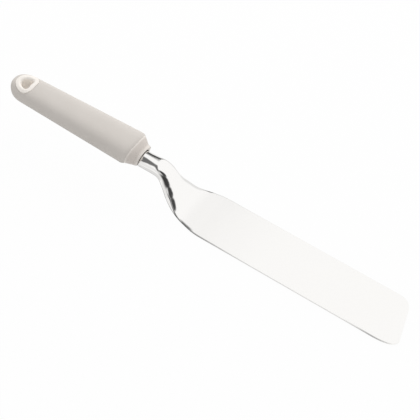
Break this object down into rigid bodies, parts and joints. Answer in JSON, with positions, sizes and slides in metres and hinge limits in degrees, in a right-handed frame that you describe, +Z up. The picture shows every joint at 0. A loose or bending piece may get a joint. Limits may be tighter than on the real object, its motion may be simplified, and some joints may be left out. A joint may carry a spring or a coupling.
{
  "type": "icing spatula",
  "caption": "Cranked icing spatula: long flat steel blade with a slanted rounded end, bent channel-shaped neck, and a soft oval grip with a hanging eye.",
  "frame": {"origin": "middle of the length and width of the flat blade's underside", "axes": "+X along the blade, from the handle to the tip; +Z up, out of the blade's upper face; +Y completes the frame, to the side of the shorter blade corner"},
  "size_m": [0.3638, 0.042, 0.0418],
  "materials": {
    "steel": "polished stainless sheet with fine lengthwise lines",
    "core": "satin moulded hard plastic, warm off-white",
    "grip": "soft matte moulded elastomer, warm pale grey"
  },
  "bodies": {
    "root": {"blade": "steel", "handle_core": "core", "grip_sleeve": "grip"}
  },
  "joints": []
}
